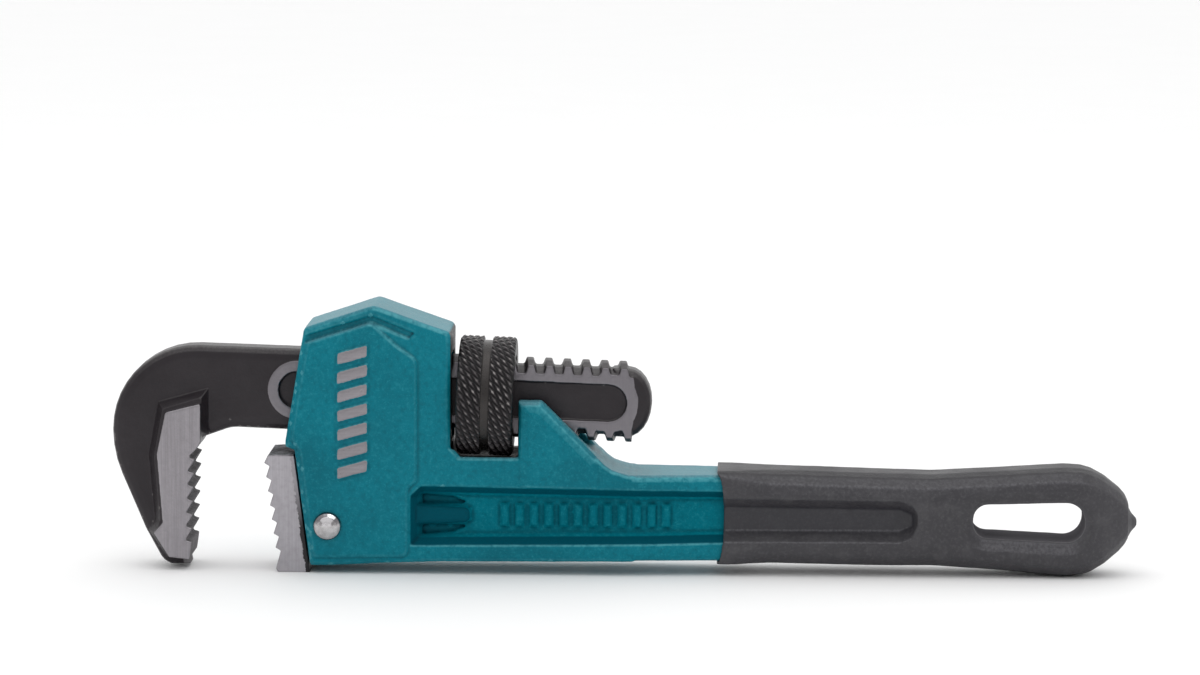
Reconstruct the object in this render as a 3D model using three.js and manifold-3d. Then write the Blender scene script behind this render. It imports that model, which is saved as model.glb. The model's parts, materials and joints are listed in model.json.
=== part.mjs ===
// Pipe wrench of the 200 mm (8 in) class, as an assembly of nine separate pieces:
// cast frame, dipped grip, sliding hook jaw, knurled adjusting nut, heel jaw and its pin,
// and the spring set that holds the hook jaw back (flat spring, coil spring and their rivet).
//
// Millimetres. X runs along the tool, hook jaw at -X and the grip's end at +X. Y is its depth,
// and the tool is symmetric about Y = 0. Z is up: the tool stands on Z = 0, on the foot of its
// heel jaw and the belly of its grip. The hook jaw is drawn rocked back, as the springs hold it.
import * as THREE from 'three';
import { mergeVertices } from 'three/addons/utils/BufferGeometryUtils.js';
import Module from 'manifold-3d';

const wasm = await Module();
wasm.setup();

// ---- driving dimensions -------------------------------------------------------------------
const GAP = 0.3; // clearance kept between pieces that touch on the real tool
const PAST = 4; // how far a cutter runs past the face that it opens

const HEAD_HALF = 8.8; // half depth of the head casting and of the beam's root
const PANEL_HALF = 9.3; // half depth of the raised panel on each cheek, and of the ears
const BAR_HALF = 9.7; // half depth over the ground bars on each cheek
const SEAT_TOP = [-64.2, 24.3]; // the line of the head's mouth face, which the heel jaw backs on
const SEAT_FOOT = [-61.2, 1.6];
const NECK_HALF = 3.9; // half depth of the hook jaw's forging
const SHANK_HALF = 4.15; // half depth over the ground lands and the threaded shank
const NECK_RISE = 8.05; // half height of the hook jaw's neck
const JAW_HALF = 7; // half depth of the hook jaw's toothed block
const HEEL_HALF = 7.5; // half depth of the heel jaw
const TONGUE_HALF = 4; // half depth of the heel jaw's tongue
const SLOT_HALF = 4.7; // half width of the tunnel and of the slot between the ears

const NUT_CENTRE = [-27.05, 34.25]; // X and Z of the nut's centre, on the shank's axis
const SHANK_TILT = THREE.MathUtils.degToRad(1.93); // the rocked-back shank drops towards +X
const ROCK_RANGE = THREE.MathUtils.degToRad(2.75); // how far the hook jaw rocks to bite
const NUT_RADIUS = 11.7;
const NUT_LENGTH = 11;

const THREAD = {
  pitch: 3.65,
  root: 6.67,
  crest: 7.98,
  crestHalf: 0.62, // half width of the flat on each crest
  flank: 0.45, // length of each flank along the axis
  phase: 0.94, // where the crest on the shank's upper edge lies, from the nut's centre
};
const THREAD_START = -20.5; // along the shank, from the nut's centre
const THREAD_END = 28.7;
const SHANK_END = 32.4;

const TOOTH_COUNT = 7; // on each jaw

// ---- solids -------------------------------------------------------------------------------
function solid(geometry) {
  const bare = geometry.clone();
  bare.deleteAttribute('normal');
  bare.deleteAttribute('uv');
  const merged = mergeVertices(bare, 1e-4);
  const mesh = new wasm.Mesh({
    numProp: 3,
    vertProperties: new Float32Array(merged.attributes.position.array),
    triVerts: new Uint32Array(merged.index.array),
  });
  return new wasm.Manifold(mesh);
}

function geometryOf(manifold) {
  const mesh = manifold.getMesh();
  const geometry = new THREE.BufferGeometry();
  geometry.setAttribute('position', new THREE.BufferAttribute(new Float32Array(mesh.vertProperties), 3));
  geometry.setIndex(new THREE.BufferAttribute(new Uint32Array(mesh.triVerts), 1));
  const flat = geometry.toNonIndexed();
  flat.computeVertexNormals();
  return flat;
}

const join = (...parts) => parts.reduce((whole, part) => whole.add(part));
const cut = (body, ...tools) => tools.reduce((rest, tool) => rest.subtract(tool), body);

const ARC_STEP = THREE.MathUtils.degToRad(18); // of fillets, and half of it where they are over 3 mm

// An outline in the XZ plane. Each corner is [x, z] or [x, z, radius of its fillet].
function outline(corners) {
  const shape = new THREE.Shape();
  corners.forEach(([x, z, radius = 0], i) => {
    const here = new THREE.Vector2(x, z);
    const before = new THREE.Vector2(...corners.at(i - 1));
    const after = new THREE.Vector2(...corners[(i + 1) % corners.length]);
    const back = before.sub(here).normalize();
    const ahead = after.sub(here).normalize();
    const bend = Math.acos(THREE.MathUtils.clamp(-back.dot(ahead), -1, 1));
    const steps = radius > 0 ? Math.max(1, Math.ceil(bend / (radius > 3 ? ARC_STEP / 2 : ARC_STEP))) : 0;
    if (steps === 0) {
      if (i === 0) shape.moveTo(x, z);
      else shape.lineTo(x, z);
      return;
    }
    const reach = radius * Math.tan(bend / 2);
    const start = here.clone().addScaledVector(back, reach);
    const middle = back.clone().add(ahead).normalize();
    const centre = here.clone().addScaledVector(middle, Math.hypot(radius, reach));
    const turn = Math.sign(ahead.cross(back)) || 1;
    for (let step = 0; step <= steps; step += 1) {
      const point = start.clone().rotateAround(centre, (turn * bend * step) / steps);
      if (i === 0 && step === 0) shape.moveTo(point.x, point.y);
      else shape.lineTo(point.x, point.y);
    }
  });
  return shape;
}

// A plate across Y with an XZ outline. Its rim falls away by `edge` along the outline over `fall`
// in depth, and `grow` moves the whole outline outwards.
function plate(corners, half, { edge = 0, fall = edge, rounds = 1, grow = 0 } = {}) {
  const bevelled = edge > 0 || grow !== 0;
  const thickness = bevelled ? Math.max(fall, 0.05) : 0;
  const geometry = new THREE.ExtrudeGeometry(outline(corners), {
    depth: 2 * (half - thickness),
    steps: 1,
    curveSegments: 8,
    bevelEnabled: bevelled,
    bevelThickness: thickness,
    bevelSize: edge,
    bevelOffset: grow - edge,
    bevelSegments: rounds,
  });
  geometry.translate(0, 0, thickness - half);
  geometry.rotateX(Math.PI / 2);
  return solid(geometry);
}

// Points of half an oval that bulges to +X, from its top to its foot.
function halfOval(x, long, high) {
  const steps = 12;
  const points = [];
  for (let step = 0; step <= steps; step += 1) {
    const angle = Math.PI * (0.5 - step / steps);
    points.push([x + long * Math.cos(angle), high * Math.sin(angle)]);
  }
  return points;
}

function block(x0, x1, halfDepth, z0, z1) {
  const geometry = new THREE.BoxGeometry(x1 - x0, 2 * halfDepth, z1 - z0);
  geometry.translate((x0 + x1) / 2, 0, (z0 + z1) / 2);
  return solid(geometry);
}

// A solid through a row of sections along X. Each section is { x, points: [[y, z], ...] }.
function loft(sections) {
  const count = sections[0].points.length;
  const ring = sections[0].points.map(([y, z]) => new THREE.Vector2(y, z));
  const positions = sections.flatMap(({ x, points }) => points.flatMap(([y, z]) => [x, y, z]));
  const faces = THREE.ShapeUtils.triangulateShape(ring, []);
  const last = (sections.length - 1) * count;
  const index = faces.flatMap(([a, b, c]) => [c, b, a, last + a, last + b, last + c]);
  for (let i = 0; i + 1 < sections.length; i += 1) {
    for (let j = 0; j < count; j += 1) {
      const a = i * count + j;
      const b = i * count + ((j + 1) % count);
      index.push(a, b, b + count, a, b + count, a + count);
    }
  }
  const geometry = new THREE.BufferGeometry();
  geometry.setAttribute('position', new THREE.Float32BufferAttribute(positions, 3));
  geometry.setIndex(index);
  return solid(geometry);
}

// A solid of revolution about Y or Z from a profile of [radius, height].
function turned(profile, sides, axis = 'z') {
  const geometry = new THREE.LatheGeometry(profile.map(([r, h]) => new THREE.Vector2(r, h)), sides);
  if (axis === 'z') geometry.rotateX(Math.PI / 2);
  if (axis === 'x') geometry.rotateZ(-Math.PI / 2);
  return solid(geometry);
}

const stud = (radius, low, high) => [[0, low], [radius, low], [radius, high], [0, high]];

// Along the shank's own axis, u points to the grip and w up; this puts such a solid in place.
function onShank(part) {
  const place = new THREE.Matrix4().makeRotationY(SHANK_TILT);
  place.setPosition(NUT_CENTRE[0], 0, NUT_CENTRE[1]);
  return part.transform(place.elements);
}

// Height of the rocked-back shank's axis at x, and of the same line once the jaw has rocked.
const axisHeight = (x) => NUT_CENTRE[1] - (x - NUT_CENTRE[0]) * Math.tan(SHANK_TILT);
const bittenHeight = (x) => NUT_CENTRE[1] + (x - NUT_CENTRE[0]) * Math.tan(ROCK_RANGE - SHANK_TILT);

// A right-hand threaded rod about X, from one flat end to the other; `ease` makes it the tool
// that cuts a nut's thread with that much room all round.
function threadedRod(from, to, ease = 0) {
  const sectors = 24;
  const { pitch, root, crest, crestHalf, flank, phase } = THREAD;
  const wide = crestHalf + ease;
  const knots = [
    [-wide - flank, root + ease],
    [-wide, crest + ease],
    [wide, crest + ease],
    [wide + flank, root + ease],
  ];
  const turns = Math.ceil((to - from) / pitch) + 3;
  const first = Math.floor((from - phase) / pitch) - 1;
  const columns = turns * sectors;
  const positions = [];
  for (let column = 0; column <= columns; column += 1) {
    const angle = (column / sectors) * 2 * Math.PI;
    const centre = phase + (first + column / sectors) * pitch;
    for (const [shift, radius] of knots) {
      positions.push(centre + shift, -radius * Math.sin(angle), radius * Math.cos(angle));
    }
  }
  const id = (column, knot) => column * knots.length + knot;
  const top = knots.length - 1;
  const index = [];
  const quad = (a, b, c, d) => index.push(c, b, a, d, c, a);
  for (let column = 0; column < columns; column += 1) {
    for (let knot = 0; knot < top; knot += 1) {
      quad(id(column, knot), id(column, knot + 1), id(column + 1, knot + 1), id(column + 1, knot));
    }
    if (column + sectors < columns) {
      const next = column + sectors;
      quad(id(column, top), id(next, 0), id(next + 1, 0), id(column + 1, top));
    }
  }
  const startLoop = [];
  for (let column = 0; column <= sectors; column += 1) startLoop.push(id(column, 0));
  for (let knot = top; knot > 0; knot -= 1) startLoop.push(id(0, knot));
  const endLoop = [];
  for (let column = columns - sectors; column <= columns; column += 1) endLoop.push(id(column, top));
  for (let knot = top - 1; knot >= 0; knot -= 1) endLoop.push(id(columns, knot));
  const hubs = positions.length / 3;
  positions.push(phase + (first - 1) * pitch, 0, 0, phase + (first + turns + 1) * pitch, 0, 0);
  startLoop.forEach((a, i) => index.push(a, hubs, startLoop[(i + 1) % startLoop.length]));
  endLoop.forEach((a, i) => index.push(endLoop[(i + 1) % endLoop.length], hubs + 1, a));
  const geometry = new THREE.BufferGeometry();
  geometry.setAttribute('position', new THREE.Float32BufferAttribute(positions, 3));
  geometry.setIndex(index);
  const reach = crest + ease + 1;
  return solid(geometry).intersect(block(from, to, reach, -reach, reach));
}

// ---- the beam of the frame and the grip over it -------------------------------------------
const BEAM_START = -40;
const GRIP_START = 19.6;
const LAP = GRIP_START + 1; // where the grip's mouth ends, and its wall starts to thicken
const TAPER_START = 2; // where the beam starts to narrow in depth
const MOUTH_REACH = 1.4; // how much further the grip's mouth laps the beam at its top and foot
const MOUTH_WALL = 0.8; // from the casting's surface to the grip's, where the grip starts
const GRIP_WALL = 1.5; // and over the rest of the handle
const EYE_CENTRE_HEIGHT = 11;
const GRIP_TIP = 98.6; // the round end, without its drip
const mix = THREE.MathUtils.lerp;

// Value at x of a line through [x, value] stations.
function along(stations, x) {
  const next = stations.findIndex(([place]) => place >= x);
  if (next <= 0) return next === 0 ? stations[0][1] : stations.at(-1)[1];
  const [x0, v0] = stations[next - 1];
  const [x1, v1] = stations[next];
  return mix(v0, v1, (x - x0) / (x1 - x0));
}

const GRIP_TOP = [[-60, 20.6], [30, 20.6], [50, 20.1], [60, 19.9], [72, 20.6], [86, 21.5]];
const GRIP_FOOT = [[-60, 2.2], [30, 2.1], [48, 1.8], [60, 1.9], [72, 1.2], [86, 0]];
const GRIP_HALF = [[-60, 9.6], [TAPER_START, 9.6], [GRIP_START, 7.9], [50, 7.9], [72, 7.5], [90, 7.4]];
const ROUND_FROM = 86;
const ROUND_OFF = [[0, 1], [0.26, 0.98], [0.43, 0.92], [0.63, 0.79], [0.86, 0.58], [0.95, 0.46], [1, 0.33]];

// Three surfaces of the handle, each as a depth under the grip's skin at x: the skin itself,
// the casting, and the inside of the sleeve between them.
const skin = () => 0;
const casting = (x) => {
  const share = THREE.MathUtils.smoothstep(x, LAP, LAP + 4);
  return mix(MOUTH_WALL, GRIP_WALL, share);
};
const cavity = (x) => casting(x) - GAP;

// The radius of their long edges at x, which are sharper where the sleeve laps the beam.
const roundness = (x) => THREE.MathUtils.smoothstep(x, LAP, LAP + 8);
const skinEdge = (x) => mix(2, 4.6, roundness(x));
const castingEdge = (x) => mix(1.2, 3, roundness(x));
const cavityEdge = (x) => castingEdge(x) + GAP;

// One of those surfaces at x: [half depth, foot, top].
function gripSize(x, surface) {
  const inset = surface(x);
  const reach = GRIP_TIP - inset - ROUND_FROM;
  const t = THREE.MathUtils.clamp((x - ROUND_FROM) / reach, 0, 1);
  const shrink = along(ROUND_OFF, t);
  const top = along(GRIP_TOP, Math.min(x, ROUND_FROM)) - inset;
  const foot = along(GRIP_FOOT, Math.min(x, ROUND_FROM)) + inset;
  const centre = mix((top + foot) / 2, EYE_CENTRE_HEIGHT, t);
  const rise = ((top - foot) / 2) * shrink;
  const half = (along(GRIP_HALF, x) - inset) * mix(1, 0.62, t ** 3);
  return [half, centre - rise, centre + rise];
}

// A rectangle in the YZ plane with round corners.
function roundSection(half, foot, top, radius, arcs) {
  const points = [];
  const corners = [[half, top, 0], [-half, top, 1], [-half, foot, 2], [half, foot, 3]];
  for (const [y, z, quarter] of corners) {
    const centreY = y - Math.sign(y) * radius;
    const centreZ = z + (quarter < 2 ? -radius : radius);
    for (let step = 0; step <= arcs; step += 1) {
      const angle = (quarter + step / arcs) * (Math.PI / 2);
      points.push([centreY + radius * Math.cos(angle), centreZ + radius * Math.sin(angle)]);
    }
  }
  return points;
}

// The handle's body inside one of its surfaces; `corner` gives the radius of its edges at x.
function beamBody(from, surface, corner, arcs) {
  const end = GRIP_TIP - surface(GRIP_TIP);
  const stations = [TAPER_START, GRIP_START, LAP, LAP + 2, LAP + 4, LAP + 8, 35, 50, 60, 72, 80];
  const places = [from, ...stations.filter((x) => x > from)];
  for (const [share] of ROUND_OFF) places.push(mix(ROUND_FROM, end, share));
  return loft(places.map((x) => {
    const [half, foot, top] = gripSize(x, surface);
    const radius = Math.min(corner(x), half * 0.8, (top - foot) * 0.4);
    return { x, points: roundSection(half, foot, top, radius, arcs) };
  }));
}

// The channel down each side: `depth` deep under a surface `half` from the middle.
const CHANNEL_LEFT = -41.7;
const CHANNEL_RIGHT = 57.4;
const CHANNEL_SLOPE = 2.2; // width of its sloped sides
const CHANNEL_MIDDLE = 11.6; // height of its centre line
const CHANNEL_DEPTH = 3; // in the casting

const CHANNEL_HALF_HEIGHT = [[CHANNEL_LEFT, 6], [37.4, 5], [54, 5], [56.3, 4], [CHANNEL_RIGHT, 2.3]];

function channel(handle, side, depth, narrow = 0) {
  const places = [
    CHANNEL_LEFT, CHANNEL_LEFT + CHANNEL_SLOPE, TAPER_START, LAP, LAP + 2, LAP + 4,
    50, 54, 56.3, CHANNEL_RIGHT,
  ];
  return loft(places.map((x, i) => {
    const atEnd = i === 0 || i === places.length - 1;
    const half = along(CHANNEL_HALF_HEIGHT, x) - narrow;
    const surface = gripSize(x, handle)[0];
    const slope = Math.min(CHANNEL_SLOPE, half - 0.5);
    const floor = surface - (atEnd ? 0.02 * depth : depth);
    const mouth = surface + PAST;
    const wide = half + (slope * PAST) / (4 * depth);
    const points = [
      [floor, -half + slope], [surface, -half], [mouth, -wide],
      [mouth, wide], [surface, half], [floor, half - slope],
    ];
    const placed = points.map(([y, z]) => [side * y, CHANNEL_MIDDLE + z]);
    return { x, points: side > 0 ? placed : placed.reverse() };
  }));
}

// The hang slot, `grow` larger all round than the one through the grip.
const SLOT_MIDDLE = 80;
const HANG_SLOT = [[68.2, 14.4, 2.9], [68.2, 7.9, 2.9], [90, 6.9, 3.7], [90, 15, 3.7]];

const hangSlot = (grow) => plate(HANG_SLOT, 9 + PAST, { grow });

// The slope that leads into the slot on one side of the grip.
function slotFlare(side) {
  const wide = 2.6;
  const deep = 1.2;
  const surface = gripSize(SLOT_MIDDLE, skin)[0];
  const flare = plate(HANG_SLOT, PAST, { grow: wide, edge: wide, fall: deep });
  return flare.translate([0, side * (surface - deep + PAST), 0]);
}

// ---- frame --------------------------------------------------------------------------------
const WINDOW_LEFT = -33.7;
const WINDOW_RIGHT = -20.6;
const WINDOW_FLOOR = 23.2;
const BEAM_TOP = 19.9;
const TUNNEL_ROOM = 0.4; // over and under the neck, at both ends of its rock
const LEAD_IN = { from: -63, to: -60, drop: 1.3 }; // the tunnel's mouth, which the hook's throat enters
const APEX = [-48.7, 52.8];
const LEAF_FROM = -60;
const LEAF_TO = -37;
const LEAF_HALF = 3.2;
const LEAF_THICK = 0.8;
const LEAF_ROOM = 0.35; // between the flat spring and the jaw above it
const COIL_X = -46;
const COIL_FOOT = 15.8;
const COIL_RADIUS = 2.1; // of the wire's centre line
const COIL_WIRE = 0.7; // diameter
const PIN = { x: -57.7, z: 9.5, radius: 2.2, dome: 2.8, rise: 1.6 };
const TONGUE = { end: -52, foot: 4, top: 19 };

// Outlines run round each shape as [x, z] or [x, z, fillet].
function headCasting() {
  const body = plate([
    SEAT_FOOT, [-60.2, 1.5], [-54, 1.7], [-47, 2.1], [-36, 2.5], [WINDOW_LEFT + 1.7, 12],
    [WINDOW_LEFT + 1.7, WINDOW_FLOOR + 0.4], [WINDOW_LEFT, WINDOW_FLOOR + 2.2], [WINDOW_LEFT, 47.6, 1.3],
    [...APEX, 2], [-62.3, 48.3, 1.2], [-64.6, 34.3], [-66, 26], [-66, 24.9], SEAT_TOP,
  ], HEAD_HALF, { edge: 0.7 });
  return cut(body, ...[-1, 1].map(crownGroove));
}

// A shallow groove under the crown's edge, which sets the panel off from it.
function crownGroove(side) {
  const depth = 0.55;
  const half = 1;
  const strip = [[-67, 45.4], [-49.1, 51], [-40.4, 47.5], [-41.7, 46.2], [-49.1, 49.3], [-67, 43.7]];
  return plate(strip, half).translate([0, side * (HEAD_HALF - depth + half), 0]);
}

function beamRoot() {
  return plate([
    [-45, 2.2], [-36, 2.5], [TAPER_START, 2.8], [TAPER_START, BEAM_TOP], [1, BEAM_TOP], [-0.6, 20.3],
    [-2.3, 20.9], [-3.7, 21.9], [-5, WINDOW_FLOOR], [-45, WINDOW_FLOOR],
  ], HEAD_HALF, { edge: 0.5 });
}

function cheekPanel() {
  return plate([
    [-60.6, 3.2], [-41.9, 3.4, 1.5], [-41.9, 17, 1], [-40.2, 18.4, 1], [-40.2, 42.3, 2.5], [-44.4, 45.2, 2],
    [-49.1, 49.5, 1.5], [-61.7, 45.5, 1], [-63.6, 35], [-64.9, 26.5], [-63.2, 24],
  ], PANEL_HALF, { edge: 0.35, fall: 0.45 });
}

function ears() {
  return plate([
    [WINDOW_RIGHT, 14], [WINDOW_RIGHT, 34.1], [-16.1, 34.1], [-4.4, 22.6, 4], [-4.4, 14],
  ], PANEL_HALF, { edge: 2.2, fall: 1.5, rounds: 2 });
}

// The way through the head for the jaw's neck, with the room for the springs under it.
function tunnel() {
  const top = (x) => axisHeight(x) + NECK_RISE + TUNNEL_ROOM;
  const foot = (x) => bittenHeight(x) - NECK_RISE - TUNNEL_ROOM;
  const left = SEAT_TOP[0] - 2 - PAST;
  const right = WINDOW_LEFT + PAST;
  const { from: mouth, to: throat, drop } = LEAD_IN;
  const passage = plate([
    [left, foot(mouth) - drop], [mouth, foot(mouth) - drop], [throat, foot(throat)],
    [right, foot(right)], [right, top(right)], [left, top(left)],
  ], SLOT_HALF);
  const bed = (x) => foot(x) - LEAF_ROOM - LEAF_THICK - GAP;
  const from = LEAF_FROM - 0.8;
  const to = LEAF_TO + 0.8;
  const leafRoom = plate([[from, bed(from)], [to, bed(to)], [to, foot(to) + 2], [from, foot(from) + 2]],
    LEAF_HALF + 0.5);
  const pocket = turned(stud(COIL_RADIUS + COIL_WIRE / 2 + 0.5, 0, 12), 20)
    .translate([COIL_X, 0, COIL_FOOT - GAP]);
  return join(passage, leafRoom, pocket);
}

function nutRoom() {
  const radius = NUT_RADIUS + 0.9;
  const long = WINDOW_RIGHT - WINDOW_LEFT;
  const middle = (WINDOW_RIGHT + WINDOW_LEFT) / 2;
  return turned(stud(radius, -long / 2, long / 2), 40, 'x').translate([middle, 0, NUT_CENTRE[1]]);
}

const sunkPlate = (corners, half, side, middle, options) => (
  plate(corners, half, options).translate([0, side * middle, 0])
);

// Seven slanted bars, ground flat, that stand on each cheek.
function cheekBars(side) {
  const count = 7;
  const low = 19.6;
  const step = 3.75;
  const tall = 2.1;
  const [left, right] = [-55.7, -50];
  const lean = 1.6;
  const half = 0.8;
  const bars = [];
  for (let i = 0; i < count; i += 1) {
    const foot = low + i * step;
    const corners = [
      [left, foot - lean / 2], [right, foot + lean / 2],
      [right, foot + lean / 2 + tall], [left, foot - lean / 2 + tall],
    ];
    bars.push(sunkPlate(corners, half, side, BAR_HALF - half, { edge: 0.15 }));
  }
  return join(...bars);
}

const channelFloor = (x) => gripSize(x, casting)[0] - CHANNEL_DEPTH;

// The tongue at the channel's blunt end, and a row of low ribs along its floor.
const TONGUE_RIB = { left: -41, right: -29.8, half: 2.1, rise: 1.5 };
const RIBS = { from: -23.2, to: 8.4, count: 12, half: 0.7, tall: 4.4, rise: 0.7 };

function channelRibs(side) {
  const half = 1.2;
  const { left: root, right: tip, half: wide, rise } = TONGUE_RIB;
  const tongue = sunkPlate([
    [root, CHANNEL_MIDDLE - wide], [tip - 1, CHANNEL_MIDDLE - wide * 0.8], [tip, CHANNEL_MIDDLE - 1],
    [tip, CHANNEL_MIDDLE + 1], [tip - 1, CHANNEL_MIDDLE + wide * 0.8], [root, CHANNEL_MIDDLE + wide],
  ], half, side, channelFloor(tip) + rise - half, { edge: 0.9, fall: 1.1, rounds: 2 });
  const ribs = [];
  for (let i = 0; i < RIBS.count; i += 1) {
    const x = mix(RIBS.from, RIBS.to, i / (RIBS.count - 1));
    const [low, high] = [CHANNEL_MIDDLE - RIBS.tall / 2, CHANNEL_MIDDLE + RIBS.tall / 2];
    const [left, right] = [x - RIBS.half, x + RIBS.half];
    const corners = [[left, low], [right, low], [right, high], [left, high]];
    ribs.push(sunkPlate(corners, half, side, channelFloor(x) + RIBS.rise - half, { edge: 0.2 }));
  }
  return join(tongue, ...ribs);
}

// Two wedge-shaped pockets beside the tongue, deeper than the channel's floor.
function channelPockets(side) {
  const depth = 0.8;
  const half = 1;
  const { left, right, half: wide } = TONGUE_RIB;
  const wedge = (up) => sunkPlate([
    [left + 1.6, CHANNEL_MIDDLE + up * wide], [right, CHANNEL_MIDDLE + up * wide],
    [right - 3.4, CHANNEL_MIDDLE + up * 3.5], [left + 1.6, CHANNEL_MIDDLE + up * 4],
  ], half, side, channelFloor(left) - depth + half);
  return join(wedge(1), wedge(-1));
}

function handleFrame() {
  const beam = beamBody(BEAM_START, casting, castingEdge, 2);
  const pinBore = turned(stud(PIN.radius + GAP, -HEAD_HALF - PAST, HEAD_HALF + PAST), 24, 'y');
  const body = cut(
    join(headCasting(), beamRoot(), cheekPanel(), ears(), beam),
    tunnel(),
    nutRoom(),
    block(WINDOW_RIGHT - PAST / 2, 10, SLOT_HALF, WINDOW_FLOOR + 0.8, 50),
    block(-70, TONGUE.end + GAP, TONGUE_HALF + GAP, TONGUE.foot - GAP, TONGUE.top + GAP),
    pinBore.translate([PIN.x, 0, PIN.z]),
    hangSlot(GRIP_WALL),
    ...[-1, 1].map((side) => channel(casting, side, CHANNEL_DEPTH)),
    ...[-1, 1].map(channelPockets),
  );
  return join(body, ...[-1, 1].flatMap((side) => [cheekBars(side), channelRibs(side)]));
}

function gripSleeve() {
  const start = GRIP_START - MOUTH_REACH;
  const outer = beamBody(start, skin, skinEdge, 3);
  const inside = cut(
    beamBody(BEAM_START, cavity, cavityEdge, 2),
    hangSlot(GRIP_WALL - GAP),
    ...[-1, 1].map((side) => channel(cavity, side, CHANNEL_DEPTH, GAP)),
  );
  const mouthHalf = 8.8;
  const mouth = plate([
    [start - PAST, -mouthHalf], [start - PAST, mouthHalf], ...halfOval(start, MOUTH_REACH, mouthHalf),
  ], 9 + PAST).translate([0, 0, CHANNEL_MIDDLE - 0.3]);
  const profile = [
    [0, -1.5], [3.6, -1.5], [3.5, -0.2], [2.7, 0.3], [1.8, 0.8], [1.2, 1.4], [0.7, 1.8], [0, 1.8],
  ];
  const drip = turned(profile, 14, 'x').translate([GRIP_TIP, 0, EYE_CENTRE_HEIGHT - 0.6]);
  const groove = { depth: 2.6, narrow: 0.8, drop: 0.5 }; // against the casting's channel
  const grooves = [-1, 1].map((side) => channel(skin, side, groove.depth, groove.narrow));
  return cut(
    join(outer, drip),
    hangSlot(0),
    mouth,
    ...[-1, 1].map(slotFlare),
    ...grooves.map((part) => part.translate([0, 0, -groove.drop])),
    inside,
  );
}

// ---- hook jaw -----------------------------------------------------------------------------
const PAD_X = -83.85; // tip of the hook jaw's topmost tooth
const PAD_TOP_TOOTH = 22;
const PAD_STEP = 2.73;

// The ground land along the shank's flat, and the sunk panel inside it, in the shank's own u and w.
const STADIUM = { left: -37, right: 23.9, outer: 5.65, inner: 3.62 };
const LAND_FREE = 22; // where the land may stand past the thread's root, as the nut never comes there
const LAND_OVAL = 25; // centre of the half ovals that end the land and the shank
const KNOB_OVAL = 27.6;

function hookJaw() {
  const neckRight = -46.5;
  const forging = plate([
    [neckRight, axisHeight(neckRight) + NECK_RISE], [-100.4, 44.5, 16.6], [-100.4, 22.6, 22], [-94, 7.6, 6],
    [-90.2, 0.6, 3.3], [-85.2, 0.6], [-86.2, 6], [-86.2, 23.5], [-83.4, 25.6, 2], [-77, 27.9, 6],
    [neckRight, axisHeight(neckRight) - NECK_RISE],
  ], NECK_HALF, { edge: 2.2, fall: 1.6, rounds: 3 });

  const teeth = [];
  for (let i = 0; i < TOOTH_COUNT; i += 1) {
    const x = PAD_X - 0.11 * i;
    const z = PAD_TOP_TOOTH - PAD_STEP * i;
    teeth.push([x - 1.3, z + 0.4], [x, z]);
  }
  const pad = plate([
    [-82.7, 33, 0.4], [-89.6, 31.2, 0.6], [-91.3, 23], [-90.2, 9.4], [-92, 7.4], [-89, 2.6], [-85, 2.2],
    ...teeth.reverse(), [-83.4, 24.2], [-82.7, 25.4],
  ], JAW_HALF, { edge: 0 });
  const shoulders = plate([
    [-81.3, 35.8], [-91.4, 33], [-93.3, 22.6], [-92.2, 10], [-93.2, 7.4], [-89.6, 2.2], [-87, 2.2], [-87, 24],
    [-81.3, 26.6],
  ], JAW_HALF - 0.6, { edge: 1.5, fall: 2.6 });

  const { left, right, outer, inner } = STADIUM;
  const sunkPanel = plate([
    [left - inner, inner, inner], [right + inner, inner, inner],
    [right + inner, -inner, inner], [left - inner, -inner, inner],
  ], 0.9);
  const pockets = [-1, 1].map((side) => sunkPanel.translate([0, side * (SHANK_HALF + 0.05), 0]));
  const land = plate([
    [left - outer, -outer, outer], [left - outer, outer, outer],
    ...halfOval(LAND_OVAL, right + outer - LAND_OVAL, outer),
  ], SHANK_HALF).intersect(join(
    turned(stud(THREAD.root, THREAD_START, SHANK_END), 24, 'x'),
    block(left - outer - 1, THREAD_START + 0.5, SHANK_HALF, -outer, outer),
    block(LAND_FREE, SHANK_END, SHANK_HALF, -outer, outer),
  ));
  const thread = threadedRod(THREAD_START, THREAD_END)
    .intersect(block(THREAD_START, THREAD_END, SHANK_HALF, -9, 9));
  const knob = THREAD.root + 0.1;
  const tail = plate([
    [KNOB_OVAL - 3, -knob], [KNOB_OVAL - 3, knob], ...halfOval(KNOB_OVAL, SHANK_END - KNOB_OVAL, knob),
  ], SHANK_HALF - GAP / 2, { edge: 2.1, fall: 2, rounds: 3 });
  const shank = cut(join(thread, tail, land), ...pockets);
  const sunk = cut(join(forging, onShank(shank)), ...pockets.map(onShank));
  return join(sunk, shoulders, pad);
}

// ---- heel jaw and pin ---------------------------------------------------------------------
// X of the head's mouth face at height z, less `offset`.
function onSeat(z, offset) {
  const share = (z - SEAT_FOOT[1]) / (SEAT_TOP[1] - SEAT_FOOT[1]);
  return mix(SEAT_FOOT[0], SEAT_TOP[0], share) - offset;
}

const HEEL_TEETH = { x: -70.2, z: 21.5, step: 2.78, lean: 0.13, deep: 1.05, face: 0.6 };

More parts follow.
